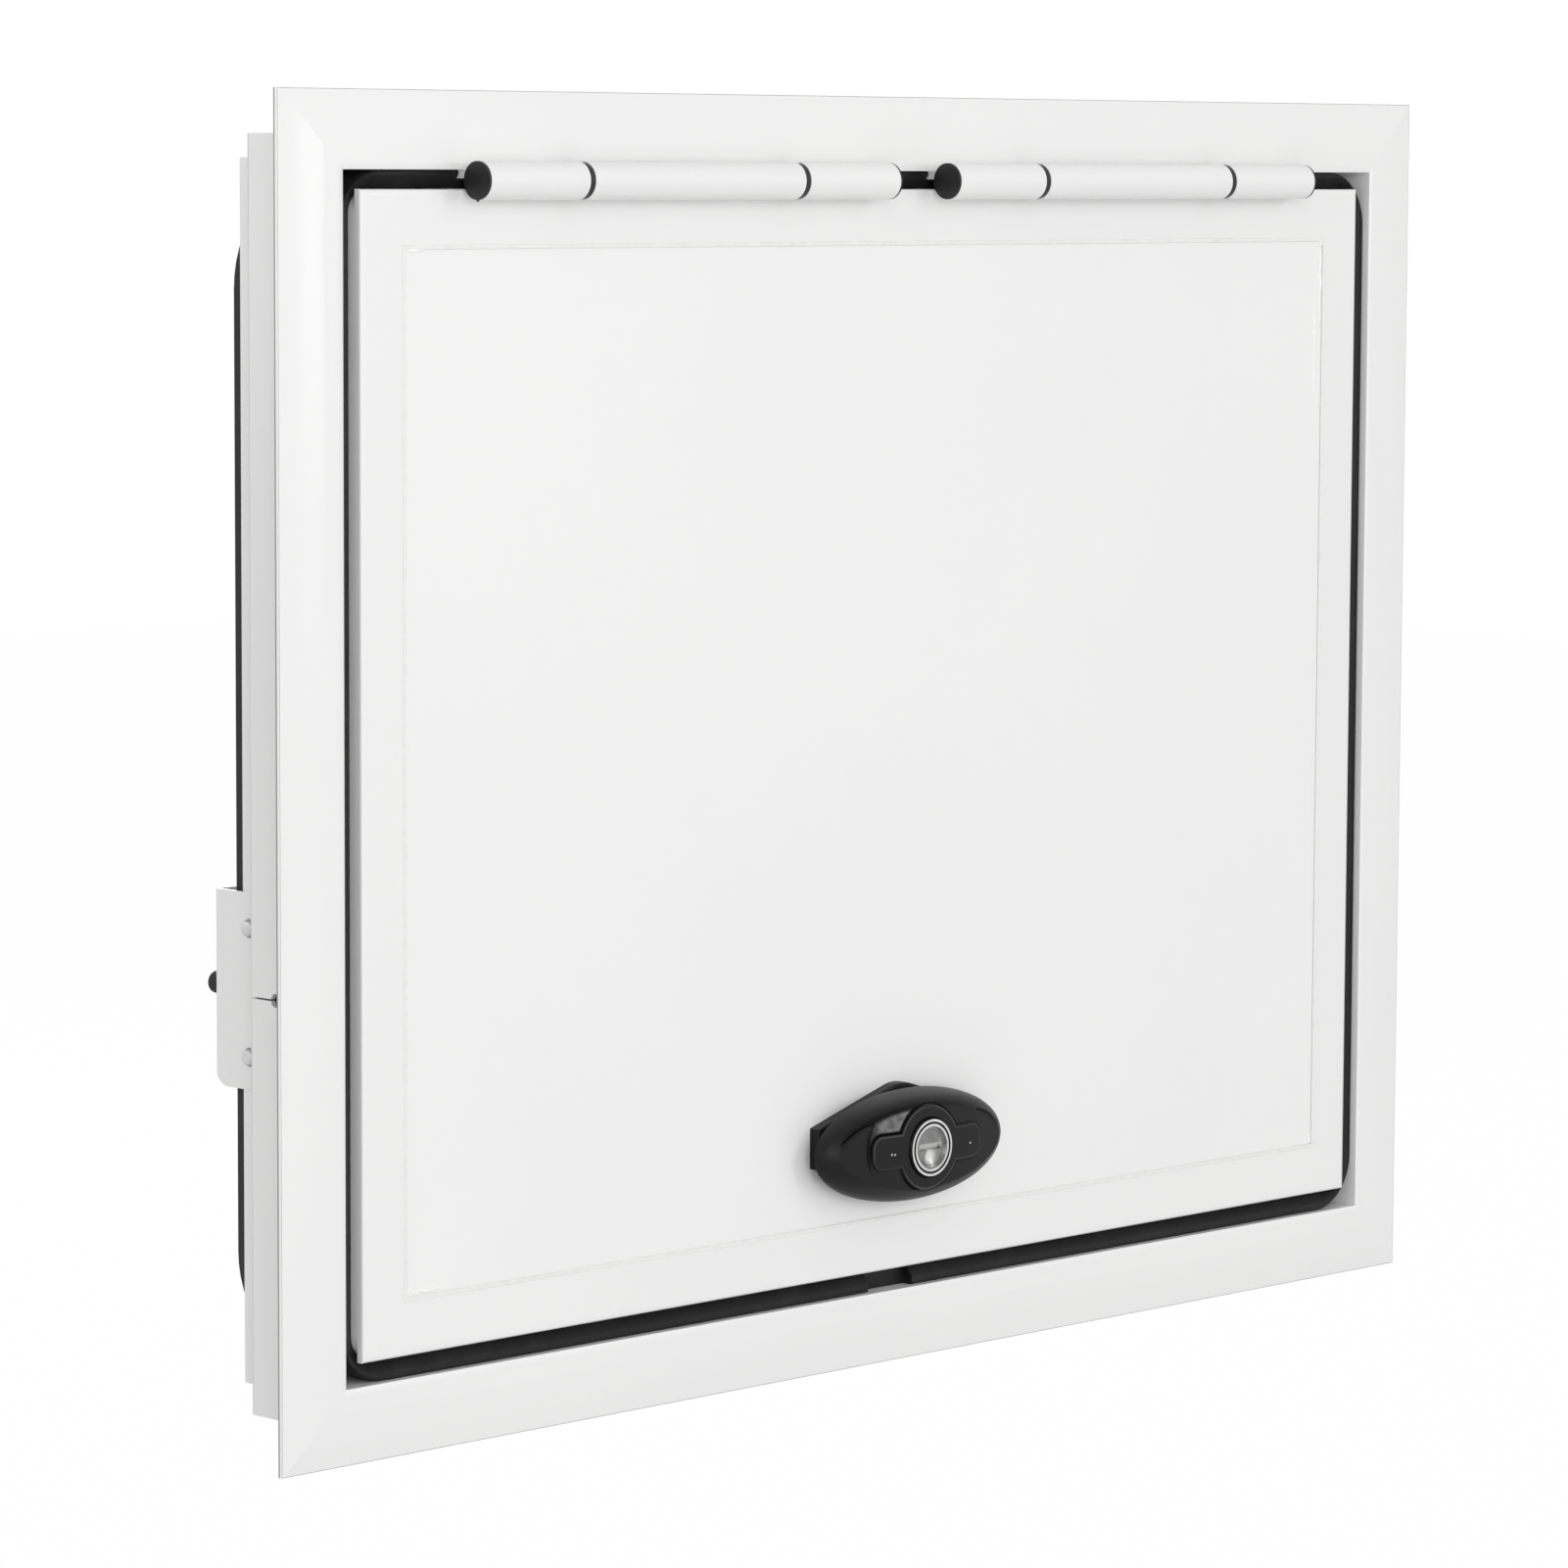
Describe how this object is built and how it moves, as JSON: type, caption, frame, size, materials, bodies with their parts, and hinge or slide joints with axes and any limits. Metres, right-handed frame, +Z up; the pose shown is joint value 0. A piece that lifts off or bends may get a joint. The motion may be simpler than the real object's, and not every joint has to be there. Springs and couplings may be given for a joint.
{
  "type": "rv baggage door",
  "caption": "Framed compartment door hinged along its top edge, with an insulated flush panel, seals, and an oval locking turn knob that swings a cam behind the frame.",
  "frame": {"origin": "centre of the wall cut-out that the frame's body fills, in the plane of the flange's back face, which rests on the vehicle's outer wall", "axes": "+X along the hinge edge, to the right when seen from outside; +Z up, towards the hinges; -Y out of the vehicle, towards a person at the door; +Y into the vehicle"},
  "size_m": [0.632, 0.0933, 0.5],
  "materials": {
    "white_paint": "gloss white paint on aluminium",
    "hinge_paint": "gloss white paint on aluminium",
    "door_paint": "gloss white paint on aluminium",
    "door_skin": "smooth white sheet",
    "bead_sealant": "white sealant bead",
    "foam_core": "rigid insulating foam",
    "seal_rubber": "matt black bulb seal",
    "gasket_rubber": "matt black foam rubber",
    "black_plastic": "satin black moulding",
    "knob_plastic": "finely grained black moulding",
    "bright_metal": "polished plated metal",
    "screw_steel": "zinc plated steel"
  },
  "bodies": {
    "frame": {"outer_frame": "white_paint", "front_seal": "seal_rubber", "stop_seal": "seal_rubber", "rear_gasket": "gasket_rubber", "joiner_bracket": "white_paint", "joiner_screws": "screw_steel", "bracket_bumper": "gasket_rubber", "hinge_frame_leaf_left": "hinge_paint", "hinge_frame_leaf_right": "hinge_paint", "hinge_pin_left": "screw_steel", "hinge_pin_right": "screw_steel", "hinge_caps": "black_plastic", "hinge_washers": "black_plastic", "frame_leaf_screws": "screw_steel"},
    "door": {"door_edge_frame": "door_paint", "door_front_panel": "door_skin", "panel_bead": "bead_sealant", "door_core": "foam_core", "door_back_panel": "door_skin", "hinge_door_leaf_left": "hinge_paint", "hinge_door_leaf_right": "hinge_paint", "door_leaf_screws": "screw_steel", "lock_base_plate": "black_plastic", "lock_housing": "screw_steel", "lock_nut": "screw_steel"},
    "knob": {"turn_knob": "knob_plastic", "cylinder_ring": "bright_metal", "knob_spindle": "screw_steel", "lock_cam": "screw_steel", "cam_bolt": "screw_steel"},
    "key": {"key_cylinder": "bright_metal"}
  },
  "joints": [
    {"name": "door_swing", "type": "hinge", "parent": "frame", "child": "door", "pos_m": [0, -0.0121, 0.2173], "axis": [-1, 0, 0], "range_deg": [0, 170]},
    {"name": "knob_turn", "type": "hinge", "parent": "door", "child": "knob", "pos_m": [0, 0, -0.1615], "axis": [0, 1, 0], "range_deg": [0, 90]},
    {"name": "key_turn", "type": "hinge", "parent": "knob", "child": "key", "pos_m": [0, -0.02, -0.1615], "axis": [0, 1, 0], "range_deg": [0, 90]}
  ]
}
